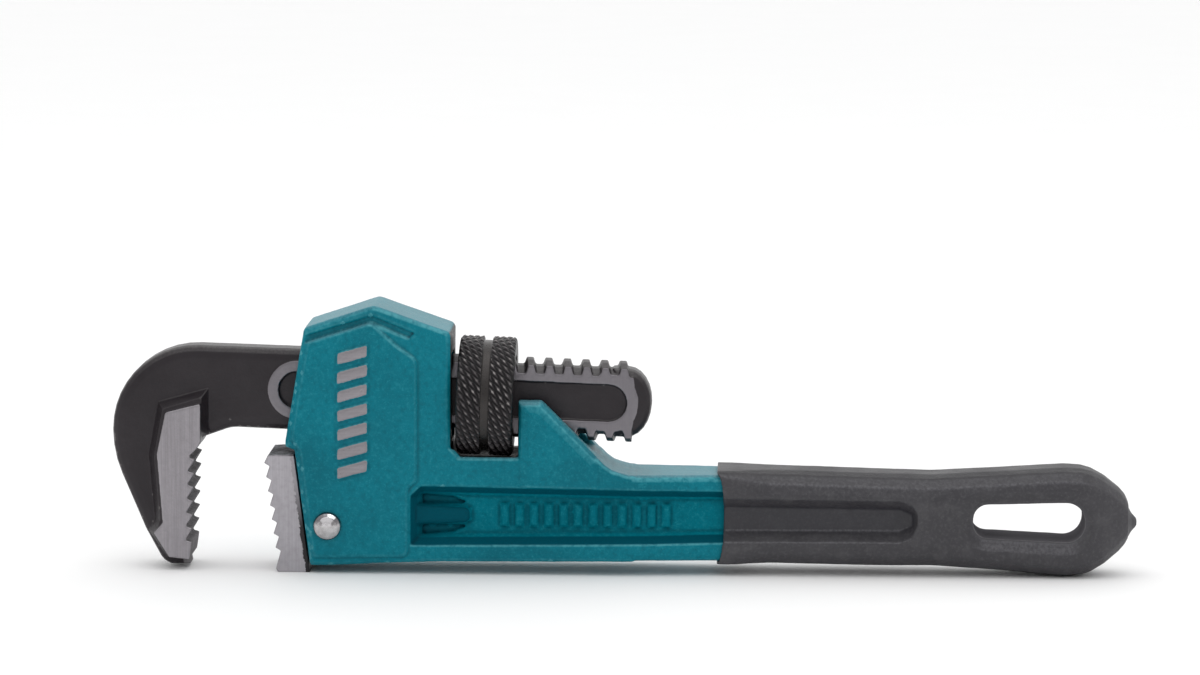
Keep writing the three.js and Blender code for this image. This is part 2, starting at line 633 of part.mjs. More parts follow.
function heelJaw() {
  const top = 23.3;
  const teeth = [];
  for (let i = 0; i < TOOTH_COUNT; i += 1) {
    const drop = HEEL_TEETH.step * i;
    const [x, z] = [HEEL_TEETH.x + HEEL_TEETH.lean * drop, HEEL_TEETH.z - drop];
    teeth.push([x, z], [x + HEEL_TEETH.deep, z - HEEL_TEETH.face]);
  }
  const face = plate([
    [onSeat(0, GAP), 0], [onSeat(top, GAP), top], [-69.5, top - 0.3], ...teeth, [-68.1, 0, 0.7],
  ], HEEL_HALF);
  const tongue = block(onSeat(TONGUE.foot, 0) - 2, TONGUE.end, TONGUE_HALF, TONGUE.foot, TONGUE.top);
  const bore = turned(stud(PIN.radius + GAP, -9, 9), 24, 'y').translate([PIN.x, 0, PIN.z]);
  return cut(join(face, tongue), bore);
}

function heelPin() {
  const { radius, dome, rise } = PIN;
  const seat = PANEL_HALF + GAP / 2;
  const cap = [];
  for (let step = 0; step <= 4; step += 1) {
    const angle = (step / 4) * (Math.PI / 2);
    cap.push([dome * Math.cos(angle), seat + rise * Math.sin(angle)]);
  }
  cap[4][0] = 0;
  const half = [[radius, seat], ...cap];
  const mirrored = half.map(([r, h]) => [r, -h]).reverse();
  return turned([...mirrored, ...half], 24, 'y').translate([PIN.x, 0, PIN.z]);
}

// ---- nut ----------------------------------------------------------------------------------
function adjustingNut() {
  const end = NUT_LENGTH / 2;
  const rim = 0.8; // chamfer of each outer rim
  const groove = 0.8; // half width and depth of the groove round the middle
  const low = NUT_RADIUS - rim;
  const profile = [
    [0, -end], [low, -end], [NUT_RADIUS, -end + rim], [NUT_RADIUS, -groove], [NUT_RADIUS - groove, -groove],
    [NUT_RADIUS - groove, groove], [NUT_RADIUS, groove], [NUT_RADIUS, end - rim], [low, end], [0, end],
  ];
  const blank = turned(profile, 48, 'x');
  return onShank(blank.subtract(threadedRod(-end - 1, end + 1, GAP)));
}

// ---- springs ------------------------------------------------------------------------------
const leafTop = (x) => axisHeight(x) - NECK_RISE - LEAF_ROOM;

function flatSpring() {
  const strip = plate([
    [LEAF_FROM, leafTop(LEAF_FROM) - LEAF_THICK], [LEAF_TO, leafTop(LEAF_TO) - LEAF_THICK],
    [LEAF_TO, leafTop(LEAF_TO)], [LEAF_FROM, leafTop(LEAF_FROM)],
  ], LEAF_HALF);
  return strip.subtract(turned(stud(1.8, 20, 30), 20).translate([COIL_X, 0, 0]));
}

function springRivet() {
  const top = leafTop(COIL_X) - 0.05;
  const profile = [[0, top - 4], [1.1, top - 4], [1.1, top - 0.8], [1.5, top - 0.8], [1.5, top], [0, top]];
  return turned(profile, 20).translate([COIL_X, 0, 0]);
}

class Helix extends THREE.Curve {
  constructor(radius, rise, turns) {
    super();
    Object.assign(this, { radius, rise, turns });
  }

  getPoint(t, target = new THREE.Vector3()) {
    const angle = t * this.turns * 2 * Math.PI;
    return target.set(this.radius * Math.cos(angle), this.radius * Math.sin(angle), this.rise * t);
  }
}

function coilSpring() {
  const turns = 6;
  const high = leafTop(COIL_X) - LEAF_THICK - GAP;
  const rise = high - COIL_FOOT - COIL_WIRE;
  const wire = new THREE.Shape();
  for (let i = 0; i < 6; i += 1) {
    const angle = (i / 6) * 2 * Math.PI;
    const [x, y] = [(COIL_WIRE / 2) * Math.cos(angle), (COIL_WIRE / 2) * Math.sin(angle)];
    if (i === 0) wire.moveTo(x, y);
    else wire.lineTo(x, y);
  }
  const geometry = new THREE.ExtrudeGeometry(wire, {
    steps: turns * 14,
    bevelEnabled: false,
    extrudePath: new Helix(COIL_RADIUS, rise, turns),
  });
  return solid(geometry).translate([COIL_X, 0, COIL_FOOT + COIL_WIRE / 2]);
}

// ---- assembly -----------------------------------------------------------------------------
const finishes = {
  paint: { color: 0x14707a, roughness: 0.45, metalness: 0.0 },
  vinyl: { color: 0x38373a, roughness: 0.6, metalness: 0.0 },
  blackOxide: { color: 0x2c2a2b, roughness: 0.45, metalness: 0.7 },
  groundSteel: { color: 0x9c969a, roughness: 0.38, metalness: 1.0 },
  polished: { color: 0xc2c0c0, roughness: 0.2, metalness: 1.0 },
  springSteel: { color: 0x77726c, roughness: 0.35, metalness: 1.0 },
};

const pieces = [
  ['handle_frame', handleFrame, 'paint'],
  ['grip_sleeve', gripSleeve, 'vinyl'],
  ['hook_jaw', hookJaw, 'blackOxide'],
  ['heel_jaw', heelJaw, 'groundSteel'],
  ['heel_jaw_pin', heelPin, 'polished'],
  ['adjusting_nut', adjustingNut, 'blackOxide'],
  ['flat_spring', flatSpring, 'springSteel'],
  ['coil_spring', coilSpring, 'springSteel'],
  ['spring_rivet', springRivet, 'springSteel'],
];

const wrench = new THREE.Group();
for (const [name, make, finish] of pieces) {
  const mesh = new THREE.Mesh(geometryOf(make()), new THREE.MeshStandardMaterial(finishes[finish]));
  mesh.name = name;
  wrench.add(mesh);
}

export default wrench;
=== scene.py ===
"""Looks of a pipe wrench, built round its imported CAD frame: finer meshes and procedural materials."""

import json
import math

import bmesh
import bpy
import numpy as np
from mathutils import Matrix, Vector


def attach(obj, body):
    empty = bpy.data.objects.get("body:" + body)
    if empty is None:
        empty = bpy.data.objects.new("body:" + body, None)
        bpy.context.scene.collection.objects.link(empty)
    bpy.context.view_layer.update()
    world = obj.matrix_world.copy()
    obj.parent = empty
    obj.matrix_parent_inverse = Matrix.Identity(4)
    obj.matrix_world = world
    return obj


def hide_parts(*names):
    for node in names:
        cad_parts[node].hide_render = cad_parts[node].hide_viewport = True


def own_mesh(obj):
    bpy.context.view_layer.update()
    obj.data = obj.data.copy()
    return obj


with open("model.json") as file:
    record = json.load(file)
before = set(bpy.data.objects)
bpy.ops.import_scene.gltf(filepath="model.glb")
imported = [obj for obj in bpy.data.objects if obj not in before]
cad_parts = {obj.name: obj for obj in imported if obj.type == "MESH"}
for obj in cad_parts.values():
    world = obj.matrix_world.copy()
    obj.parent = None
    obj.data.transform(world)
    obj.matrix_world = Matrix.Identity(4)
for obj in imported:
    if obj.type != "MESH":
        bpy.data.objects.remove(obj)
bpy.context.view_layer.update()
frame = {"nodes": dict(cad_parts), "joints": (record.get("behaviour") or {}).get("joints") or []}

MM = 0.001
WELD = 0.002 * MM  # points of a CAD mesh closer than this are one point

# The nut turns about the shank's axis. Its joint gives the axis, and the CAD's thread is repeated here.
SPIN = next(joint for joint in frame["joints"] if joint["name"] == "nut_spin")
NUT_CENTRE = Vector(SPIN["pos_m"])
NUT_AXIS = Vector(SPIN["axis"]).normalized()
NUT_UP = Vector((-NUT_AXIS.z, 0, NUT_AXIS.x))
NUT_RADIUS = 11.7 * MM
NUT_LENGTH = 11.0 * MM
NUT_RIM = 0.8 * MM
NUT_GROOVE = 0.8 * MM
NUT_GROOVE_HALF = 0.8 * MM
NUT_SIDES = 720
NUT_KNURL_RINGS = 36
NUT_RIM_RINGS = 9
NUT_BORE_RINGS = 91
KNURL_SLANTED = (56, 1.95 * MM)  # grooves round the nut, and their pitch along it
KNURL_STEEP = (17, 1.28 * MM)
KNURL_DEPTH = 0.5 * MM
KNURL_WORN = 0.8  # share of the points' full height that wear has left
THREAD_PITCH = 3.65 * MM
THREAD_PHASE = 0.94 * MM
THREAD_FLANK = 0.45 * MM
GROOVE_FLAT = 0.92 * MM
BORE_MAJOR = 8.28 * MM
BORE_MINOR = 6.97 * MM

# Depths in Y past which the hook jaw is ground bare, where its neck starts, and where its teeth are.
PAD_DEPTH = 6.85 * MM
LAND_DEPTH = 4.05 * MM
NECK_FROM = -76.5 * MM
TEETH_FROM = -86.6 * MM
TEETH_TO = -82.8 * MM
TEETH_HIGH = 24.5 * MM

# Dust and painted top light lie on the hook jaw and the nut from one height upwards, and are full at the
# other.
DUST_AND_LIGHT_FROM = 26.0 * MM
DUST_AND_LIGHT_FULL = 30.0 * MM

# The heel jaw's back edge leans: X + SEAT_LEAN * Z stays at SEAT_FOOT all along it.
SEAT_LEAN = 0.132
SEAT_FOOT = -61.3 * MM
HEEL_TOP = 23.3 * MM

# Depth in Y past which the cheek bars are ground bare.
BAR_DEPTH = 9.49 * MM

# The channel down each side of the casting: its height band and its left end, and the half depth of
# the casting beside it, which tapers from one X to another.
CHANNEL_LOW = 5.3 * MM
CHANNEL_HIGH = 17.9 * MM
CHANNEL_LEFT = -41.7 * MM
TAPER = (2.0 * MM, 19.6 * MM)
BEAM_HALF = (8.8 * MM, 7.1 * MM)

# The hollows of the grip: the groove down each side and, further along X, the hang slot.
HOLLOW_DEPTH = 5.6 * MM
HOLLOW_LOW = 5.4 * MM
HOLLOW_HIGH = 17.0 * MM
GROOVE_TO = 57.5 * MM
SLOT_FROM = 66.0 * MM
SLOT_TO = 92.0 * MM

# The nut's window through the head: centre and half width along X, floor, and half depth kept dark.
WINDOW_MIDDLE = -27.2 * MM
WINDOW_HALF = 6.65 * MM
WINDOW_LOW = 21.0 * MM
WINDOW_DEPTH = 7.9 * MM


# ---- mesh helpers ------------------------------------------------------------------------
def add_object(name, mesh):
    piece = bpy.data.objects.new(name, mesh)
    bpy.context.collection.objects.link(piece)
    return piece


def apply_modifiers(piece):
    """Replaces the piece's mesh by what its modifiers make of it, and clears them."""
    graph = bpy.context.evaluated_depsgraph_get()
    done = bpy.data.meshes.new_from_object(piece.evaluated_get(graph))
    piece.modifiers.clear()
    piece.data = done


def shade_smooth(piece):
    for face in piece.data.polygons:
        face.use_smooth = True


def face_outwards(piece):
    work = bmesh.new()
    work.from_mesh(piece.data)
    bmesh.ops.recalc_face_normals(work, faces=work.faces)
    work.to_mesh(piece.data)
    work.free()


def welded_copy(node, name):
    mesh = frame["nodes"][node].data.copy()
    work = bmesh.new()
    work.from_mesh(mesh)
    bmesh.ops.remove_doubles(work, verts=work.verts, dist=WELD)
    work.to_mesh(mesh)
    work.free()
    mesh.materials.clear()
    return add_object(name, mesh)


def refined(node, name, voxel, rounds):
    """A fine copy of a CAD node with its edges rounded over, as a forging or a casting has them."""
    piece = welded_copy(node, name)
    remesh = piece.modifiers.new("fine", "REMESH")
    remesh.mode = "VOXEL"
    remesh.voxel_size = voxel
    smooth = piece.modifiers.new("round", "SMOOTH")
    smooth.factor = 0.5
    smooth.iterations = rounds
    apply_modifiers(piece)
    shade_smooth(piece)
    return piece


def undulate(piece, size, depth):
    """Moves the surface in and out by up to `depth` over bumps about `size` across."""
    texture = bpy.data.textures.new(piece.name + "_swell", "CLOUDS")
    texture.noise_scale = size
    texture.noise_depth = 1
    move = piece.modifiers.new("swell", "DISPLACE")
    move.texture = texture
    move.texture_coords = "LOCAL"
    move.mid_level = 0.5
    move.strength = 2 * depth
    apply_modifiers(piece)
    shade_smooth(piece)


# ---- material helpers --------------------------------------------------------------------
class Shade:
    """A material's node tree, with one short call for each kind of node.

    A share is a grey value from 0 to 1 that says how much of a look a place on the surface gets.
    """

    def __init__(self, name):
        self.material = bpy.data.materials.new(name)
        self.material.use_nodes = True
        self.tree = self.material.node_tree
        self.shader = self.tree.nodes["Principled BSDF"]
        self.place = self.tree.nodes.new("ShaderNodeTexCoord").outputs["Object"]

    def put(self, value, socket):
        """Links the value to the socket if it is another node's output, and otherwise sets it there."""
        if isinstance(value, bpy.types.NodeSocket):
            self.tree.links.new(value, socket)
        else:
            socket.default_value = value

    def node(self, kind, inputs=(), **settings):
        made = self.tree.nodes.new(kind)
        for key, value in settings.items():
            setattr(made, key, value)
        for key, value in dict(inputs).items():
            self.put(value, made.inputs[key])
        return made

    def stretched(self, x, y, z):
        """The place on the piece, with each axis scaled."""
        return self.node("ShaderNodeMapping", {"Vector": self.place, "Scale": (x, y, z)}).outputs["Vector"]

    def noise(self, size, detail, rough, place=None):
        """Noise whose blobs are about `size` metres across."""
        inputs = {"Vector": place or self.place, "Scale": 0.5 / size, "Detail": detail, "Roughness": rough}
        return self.node("ShaderNodeTexNoise", inputs).outputs["Fac"]

    def math(self, operation, a, b=0.0, clamp=False):
        made = self.node("ShaderNodeMath", {0: a, 1: b}, operation=operation, use_clamp=clamp)
        return made.outputs[0]

    def product(self, *shares):
        result = shares[0]
        for share in shares[1:]:
            result = self.math("MULTIPLY", result, share)
        return result

    def rest(self, share):
        """What is left of 1."""
        return self.math("SUBTRACT", 1.0, share)

    def average(self, a, b, weight):
        """`weight` of a and the rest of b."""
        return self.math("ADD", self.math("MULTIPLY", a, weight), self.math("MULTIPLY", b, 1 - weight))

    def ramp(self, value, low, high, start=0.0, end=1.0):
        """`value` from low..high carried to start..end, and held beyond them."""
        inputs = {"Value": value, "From Min": low, "From Max": high, "To Min": start, "To Max": end}
        return self.node("ShaderNodeMapRange", inputs, clamp=True).outputs["Result"]

    def fall(self, value, low, high):
        """1 below low and 0 above high."""
        return self.ramp(value, low, high, 1.0, 0.0)

    def band(self, value, low, high, soft):
        """1 from low to high and 0 outside them, with an edge `soft` wide inside each end."""
        return self.product(self.ramp(value, low, low + soft), self.fall(value, high - soft, high))

    def mix(self, amount, a, b):
        """Colour a where the amount is 0 and b where it is 1."""
        made = self.node("ShaderNodeMix", {"Factor": amount}, data_type="RGBA")
        # The Mix node has sockets for each type of data, and these are the colours' own.
        for socket, value in ((made.inputs[6], a), (made.inputs[7], b)):
            self.put((*value, 1.0) if isinstance(value, tuple) else value, socket)
        return made.outputs[2]

    def axis(self, name):
        parts = self.node("ShaderNodeSeparateXYZ", {"Vector": self.place})
        return parts.outputs[name]

    def depth(self):
        """How far the place is from the tool's middle plane, on either side."""
        return self.math("ABSOLUTE", self.axis("Y"))

    def dot(self, vector, direction):
        inputs = {0: vector, 1: tuple(direction)}
        return self.node("ShaderNodeVectorMath", inputs, operation="DOT_PRODUCT").outputs["Value"]

    def pointiness(self):
        """0.5 on flats, more on outer edges and less in hollows."""
        return self.node("ShaderNodeNewGeometry").outputs["Pointiness"]

    def edges(self, low, high):
        """1 on outer edges and 0 on flats and in hollows."""
        return self.ramp(self.pointiness(), low, high)

    def facing(self, direction, low, high):
        """1 on faces that look along the direction and 0 on those that look away from it."""
        normal = self.node("ShaderNodeNewGeometry").outputs["Normal"]
        return self.ramp(self.dot(normal, Vector(direction).normalized()), low, high)

    def upward(self, low, high):
        return self.facing((0, 0, 1), low, high)

    def bump(self, height, depth, normal=None):
        inputs = {"Height": height, "Distance": depth, "Strength": 1.0}
        if normal is not None:
            inputs["Normal"] = normal
        return self.node("ShaderNodeBump", inputs).outputs["Normal"]

    def finish(self, **looks):
        """Puts the looks on the shader and gives the material."""
        names = {"color": "Base Color", "specular": "Specular IOR Level"}
        for key, value in looks.items():
            self.put(value, self.shader.inputs[names.get(key, key.capitalize())])
        return self.material


# ---- colours -----------------------------------------------------------------------------
TEAL = (0.0, 0.178, 0.236)
TEAL_LIGHT = (0.025, 0.290, 0.345)
TEAL_DEEP = (0.0, 0.124, 0.168)
TEAL_DUST_AND_TOP_LIGHT = (0.205, 0.370, 0.410)
TEAL_SHADE = (0.0, 0.072, 0.104)
TEAL_HOLLOW_SHADE = (0.0, 0.030, 0.046)
TEAL_PAINTED_GLINT = (0.130, 0.430, 0.480)
TEAL_PAINTED_GLOSS = (0.080, 0.350, 0.405)
WINDOW_SHADE_DARK = (0.016, 0.015, 0.015)

STEEL = (0.355, 0.335, 0.357)
STEEL_DARK = (0.215, 0.203, 0.217)
LAND = (0.190, 0.179, 0.196)
FLANK_DARK = (0.060, 0.057, 0.060)
FLANK_PALE = (0.340, 0.330, 0.336)

HEEL_DARK = (0.285, 0.270, 0.292)
HEEL_PALE = (0.500, 0.480, 0.512)
HEEL_EDGE = (0.090, 0.085, 0.090)
HEEL_BURR = (0.035, 0.032, 0.034)
HEEL_LIP = (0.035, 0.033, 0.035)
TOPSIDE_SHADE_DARK = (0.110, 0.112, 0.118)
TOPSIDE_SHADE_PALE = (0.340, 0.346, 0.358)

OXIDE = (0.017, 0.0132, 0.0162)
OXIDE_PALE = (0.0255, 0.0210, 0.0245)
OXIDE_WORN = (0.125, 0.115, 0.113)
OXIDE_DUST_AND_TOP_LIGHT = (0.095, 0.090, 0.090)
KNURL_PIT = (0.005, 0.0045, 0.005)
KNURL_TIP = (0.300, 0.282, 0.276)
NUT_BAND = (0.050, 0.046, 0.045)

VINYL = (0.047, 0.045, 0.051)
VINYL_DARK = (0.036, 0.0345, 0.040)
VINYL_DUST = (0.085, 0.083, 0.088)
VINYL_PAINTED_SHEEN = (0.112, 0.109, 0.121)
VINYL_GROOVE_SHADE = (0.022, 0.0215, 0.028)
VINYL_TOP_SHADE = (0.024, 0.023, 0.0255)
VINYL_SLOT_PAINTED_LIGHT = (0.150, 0.146, 0.157)

PIN_DARK = (0.400, 0.385, 0.390)
PIN_PALE = (0.600, 0.585, 0.590)
PIN_REFLECTION_TOP = (0.200, 0.190, 0.200)
PIN_REFLECTION_BAND = (0.720, 0.700, 0.720)
PIN_REFLECTION_GLINT = (1.0, 0.99, 1.0)
PIN_REFLECTION_UNDER = (0.140, 0.130, 0.130)
SPRING_DARK = (0.160, 0.150, 0.140)
SPRING_PALE = (0.340, 0.320, 0.300)

FLOOR_DARK = (0.955, 0.955, 0.955)
FLOOR_PALE = (0.975, 0.975, 0.975)


# ---- materials ---------------------------------------------------------------------------
def brushed(shade, along):
    """Fine straight scratches along X or Z: a grey value about 0.5."""
    width = 0.12 * MM
    stretch = width / (6 * MM)
    scale = {"X": (stretch, 1, 1), "Z": (1, 1, stretch)}[along]
    fine = shade.noise(width, detail=3, rough=0.6, place=shade.stretched(*scale))
    broad = shade.noise(width * 5, detail=2, rough=0.5, place=shade.stretched(*scale))
    return shade.average(fine, broad, 0.65)


def painted_window_shade(shade):
    """1 on the casting's surfaces inside the nut's window, where shade is painted in."""
    across = shade.math("ABSOLUTE", shade.math("SUBTRACT", shade.axis("X"), WINDOW_MIDDLE))
    return shade.product(
        shade.fall(across, WINDOW_HALF, WINDOW_HALF + 0.3 * MM),
        shade.fall(shade.depth(), WINDOW_DEPTH, WINDOW_DEPTH + 0.4 * MM),
        shade.ramp(shade.axis("Z"), WINDOW_LOW, WINDOW_LOW + 0.2 * MM),
    )


def channel_share(shade, below):
    """1 on the sides, the floor and the blunt end of the channel down each side of the casting."""
    return shade.product(
        shade.band(shade.axis("Z"), CHANNEL_LOW, CHANNEL_HIGH, 0.3 * MM),
        shade.ramp(shade.axis("X"), CHANNEL_LEFT, CHANNEL_LEFT + 0.3 * MM),
        shade.ramp(below, 0.05 * MM, 0.4 * MM),
    )


def channel_shade(shade, below):
    """Painted shade in the channel: darkest on its sides and at its blunt end, fading along the tongue."""
    sides = shade.fall(below, 1.9 * MM, 2.2 * MM)
    end = shade.ramp(shade.axis("X"), CHANNEL_LEFT + 3 * MM, CHANNEL_LEFT + 13 * MM, 0.75, 0.0)
    return shade.math("MAXIMUM", sides, end)


def enamel_speckle(shade, broad, grain, peel):
    """The enamel's own colour: paler on its fine bumps and deeper between them."""
    color = shade.mix(shade.ramp(broad, 0.25, 0.6), TEAL_DEEP, TEAL)
    color = shade.mix(shade.ramp(grain, 0.55, 0.8, 0.0, 0.5), color, TEAL_LIGHT)
    color = shade.mix(shade.ramp(grain, 0.25, 0.42, 0.25, 0.0), color, TEAL_DEEP)
    color = shade.mix(shade.ramp(peel, 0.55, 0.75, 0.0, 0.3), color, TEAL_LIGHT)
    return shade.mix(shade.ramp(peel, 0.28, 0.48, 0.6, 0.0), color, TEAL_DEEP)


def enamel_lights(shade, color, peel, raised):
    """Painted highlights: gloss on bevels that face half upwards, and broken glints along edges."""
    for side in (-1, 1):
        bevel = shade.facing((0.25, side, 0.65), 0.90, 0.99)
        gloss = shade.product(bevel, shade.ramp(peel, 0.3, 0.6, 0.2, 0.8), raised)
        color = shade.mix(gloss, color, TEAL_PAINTED_GLOSS)
    glint = shade.product(shade.edges(0.51, 0.56), shade.ramp(peel, 0.35, 0.65, 0.2, 0.5), raised)
    return shade.mix(glint, color, TEAL_PAINTED_GLINT)


def teal_enamel():
    """Textured enamel over a sand casting, ground bare where the cheek bars stand proud."""
    shade = Shade("teal_enamel")
    broad = shade.noise(9 * MM, detail=3, rough=0.55)
    grain = shade.noise(0.22 * MM, detail=2, rough=0.6)
    peel = shade.noise(0.5 * MM, detail=2, rough=0.6)
    below = shade.math("SUBTRACT", shade.ramp(shade.axis("X"), *TAPER, *BEAM_HALF), shade.depth())
    sunk = channel_share(shade, below)
    raised = shade.rest(sunk)
    color = enamel_speckle(shade, broad, grain, peel)
    # Dust and painted top light: faces that look up are paler.
    dust = shade.product(shade.upward(0.5, 0.9), shade.ramp(grain, 0.3, 0.7, 0.2, 0.5), raised)
    color = shade.mix(dust, color, TEAL_DUST_AND_TOP_LIGHT)
    # Painted shade down the channel.
    color = shade.mix(shade.product(sunk, channel_shade(shade, below)), color, TEAL_SHADE)
    color = enamel_lights(shade, color, peel, raised)
    # Painted shade in the hollows, found by the mesh's pointiness.
    color = shade.mix(shade.ramp(shade.pointiness(), 0.455, 0.498, 0.9, 0.0), color, TEAL_HOLLOW_SHADE)
    # Painted shade inside the nut's window.
    color = shade.mix(painted_window_shade(shade), color, WINDOW_SHADE_DARK)
    ragged = shade.product(shade.math("SUBTRACT", grain, 0.5), 0.12 * MM)
    ground = shade.ramp(shade.math("ADD", shade.depth(), ragged), BAR_DEPTH, BAR_DEPTH + 0.04 * MM)
    color = shade.mix(ground, color, shade.mix(brushed(shade, "X"), STEEL_DARK, STEEL))
    roughness = shade.ramp(grain, 0.3, 0.7, 0.30, 0.50)
    return shade.finish(
        color=color,
        roughness=shade.math("SUBTRACT", roughness, shade.product(ground, 0.03)),
        normal=shade.bump(shade.average(grain, broad, 0.5), 0.20 * MM),
        specular=shade.ramp(sunk, 0, 1, 0.13, 0.04),
        metallic=shade.product(ground, 0.9),
    )


def vinyl_speckle(shade, broad, patch, grain):
    """The vinyl's own colour: soft mottle with fine dust in it."""
    color = shade.mix(shade.ramp(broad, 0.35, 0.65), VINYL_DARK, VINYL)
    color = shade.mix(shade.ramp(patch, 0.5, 0.7, 0.0, 0.35), color, VINYL_DUST)
    color = shade.mix(shade.ramp(grain, 0.5, 0.75, 0.0, 0.65), color, VINYL_DUST)
    return shade.mix(shade.ramp(grain, 0.3, 0.45, 0.4, 0.0), color, VINYL_DARK)


def grip_hollow(shade):
    """1 in the groove down each side of the grip and in the hang slot."""
    deep = shade.fall(shade.depth(), HOLLOW_DEPTH, HOLLOW_DEPTH + 1 * MM)
    return shade.product(deep, shade.band(shade.axis("Z"), HOLLOW_LOW, HOLLOW_HIGH, 0.8 * MM))


def dipped_vinyl():
    """Satin vinyl with the faint mottle and the fine dust that dipping leaves."""
    shade = Shade("dipped_vinyl")
    broad = shade.noise(6 * MM, detail=3, rough=0.6)
    grain = shade.noise(0.3 * MM, detail=4, rough=0.65)
    patch = shade.noise(1.6 * MM, detail=3, rough=0.6)
    along = shade.axis("X")
    hollow = grip_hollow(shade)
    slot = shade.product(
        hollow,
        shade.ramp(along, SLOT_FROM, SLOT_FROM + 1 * MM),
        shade.fall(along, SLOT_TO - 0.5 * MM, SLOT_TO),
    )
    groove = shade.product(hollow, shade.ramp(along, GROOVE_TO, GROOVE_TO + 1 * MM, 0.55, 0.0))
    top = shade.upward(0.6, 0.9)
    color = vinyl_speckle(shade, broad, patch, grain)
    # Painted shade in the groove, stopping at its end.
    color = shade.mix(groove, color, VINYL_GROOVE_SHADE)
    # Painted highlight: a sheen on the shoulders that face half upwards, broken by the grain.
    for side in (-1, 1):
        shoulder = shade.facing((0, side, 0.62), 0.95, 0.995)
        sheen = shade.product(shoulder, shade.ramp(grain, 0.35, 0.6, 0.1, 0.6))
        color = shade.mix(sheen, color, VINYL_PAINTED_SHEEN)
    # Painted shade: faces that look up are darkened.
    color = shade.mix(shade.product(top, 0.5), color, VINYL_TOP_SHADE)
    # Painted light: the hang slot's walls get a flat pale tone in place of their own light.
    color = shade.mix(slot, color, VINYL_SLOT_PAINTED_LIGHT)
    # The slot's floor is seen at a grazing angle and would mirror the white room.
    dull = shade.math("MAXIMUM", slot, shade.product(top, 0.4))
    return shade.finish(
        color=color,
        roughness=shade.ramp(broad, 0.3, 0.7, 0.38, 0.54),
        normal=shade.bump(shade.average(grain, patch, 0.3), 0.28 * MM),
        specular=shade.ramp(dull, 0, 1, 0.42, 0.0),
    )


def black_oxide(shade, dust_and_light_share=1.0):
    """The looks of black oxide on a forging: worn along its edges, and paler on top with dust and painted
    top light.
    """
    broad = shade.noise(4 * MM, detail=3, rough=0.6)
    grain = shade.noise(0.25 * MM, detail=3, rough=0.6)
    color = shade.mix(shade.ramp(broad, 0.3, 0.7), OXIDE, OXIDE_PALE)
    worn = shade.product(shade.edges(0.52, 0.60), shade.ramp(grain, 0.35, 0.65, 0.25, 0.9))
    color = shade.mix(worn, color, OXIDE_WORN)
    # Dust and painted top light: faces that look up, high on the piece, are paler.
    dust = shade.product(
        shade.upward(0.3, 0.8),
        shade.ramp(grain, 0.4, 0.65, 0.3, 0.7),
        shade.ramp(shade.axis("Z"), DUST_AND_LIGHT_FROM, DUST_AND_LIGHT_FULL),
        dust_and_light_share,
    )
    color = shade.mix(dust, color, OXIDE_DUST_AND_TOP_LIGHT)
    roughness = shade.ramp(grain, 0.3, 0.7, 0.32, 0.48)
    normal = shade.bump(shade.average(grain, broad, 0.5), 0.10 * MM)
    return {"color": color, "roughness": roughness, "normal": normal}


def teeth_share(shade, ground):
    """1 on the flanks of the hook jaw's teeth, and on the cut faces beside them."""
    return shade.product(
        shade.band(shade.axis("X"), TEETH_FROM, TEETH_TO + 0.2 * MM, 0.2 * MM),
        shade.fall(shade.axis("Z"), TEETH_HIGH, TEETH_HIGH + 0.5 * MM),
        shade.rest(ground),
    )


def hook_oxide():
    """The forging's oxide, ground bright on the toothed pad's cheeks and on the shank's lands."""
    shade = Shade("hook_oxide")
    depth = shade.depth()
    looks = black_oxide(shade, shade.fall(depth, LAND_DEPTH - 0.15 * MM, LAND_DEPTH + 0.15 * MM))
    pad = shade.ramp(depth, PAD_DEPTH - 0.04 * MM, PAD_DEPTH)
    land = shade.ramp(depth, LAND_DEPTH - 0.03 * MM, LAND_DEPTH)
    on_shank = shade.ramp(shade.axis("X"), NECK_FROM, NECK_FROM + 0.1 * MM)
    ground = shade.math("MAXIMUM", pad, shade.product(land, on_shank))
    scratches = brushed(shade, "Z")
    mottle = shade.noise(0.7 * MM, detail=3, rough=0.65)
    steel = shade.mix(on_shank, STEEL, LAND)
    steel = shade.mix(shade.ramp(scratches, 0.2, 0.7, 0.15, 1.0), STEEL_DARK, steel)
    steel = shade.mix(shade.ramp(mottle, 0.45, 0.75, 0.0, 0.35), steel, STEEL_DARK)
    flanks = teeth_share(shade, ground)
    looks["color"] = shade.mix(flanks, looks["color"], shade.mix(mottle, FLANK_DARK, FLANK_PALE))
    looks["color"] = shade.mix(ground, looks["color"], steel)
    looks["roughness"] = shade.math("SUBTRACT", looks["roughness"], shade.product(ground, 0.04))
    looks["normal"] = shade.bump(shade.product(scratches, ground), 0.03 * MM, looks["normal"])
    # The flanks are seen at a grazing angle too, so they neither shine nor mirror.
    metallic = shade.ramp(ground, 0, 1, 0.25, 0.92)
    looks["metallic"] = shade.math("SUBTRACT", metallic, shade.product(flanks, 0.25))
    looks["specular"] = shade.ramp(flanks, 0, 1, 0.40, 0.0)
    return shade.finish(**looks)


def nut_radius(shade, away):
    """Distance from the nut's axis, where `away` is the place less the nut's centre."""
    rise = shade.math("POWER", shade.dot(away, NUT_UP), 2.0)
    return shade.math("SQRT", shade.math("ADD", rise, shade.math("POWER", shade.axis("Y"), 2.0)))


def nut_band(shade, away, radius):
    """1 on the floor of the groove round the nut's middle."""
    floor_radius = NUT_RADIUS - NUT_GROOVE
    along = shade.math("ABSOLUTE", shade.dot(away, NUT_AXIS))
    return shade.product(
        shade.ramp(radius, floor_radius - 0.1 * MM, floor_radius - 0.05 * MM),
        shade.fall(radius, floor_radius + 0.1 * MM, floor_radius + 0.2 * MM),
        shade.fall(along, NUT_GROOVE_HALF, NUT_GROOVE_HALF + 0.2 * MM),
    )


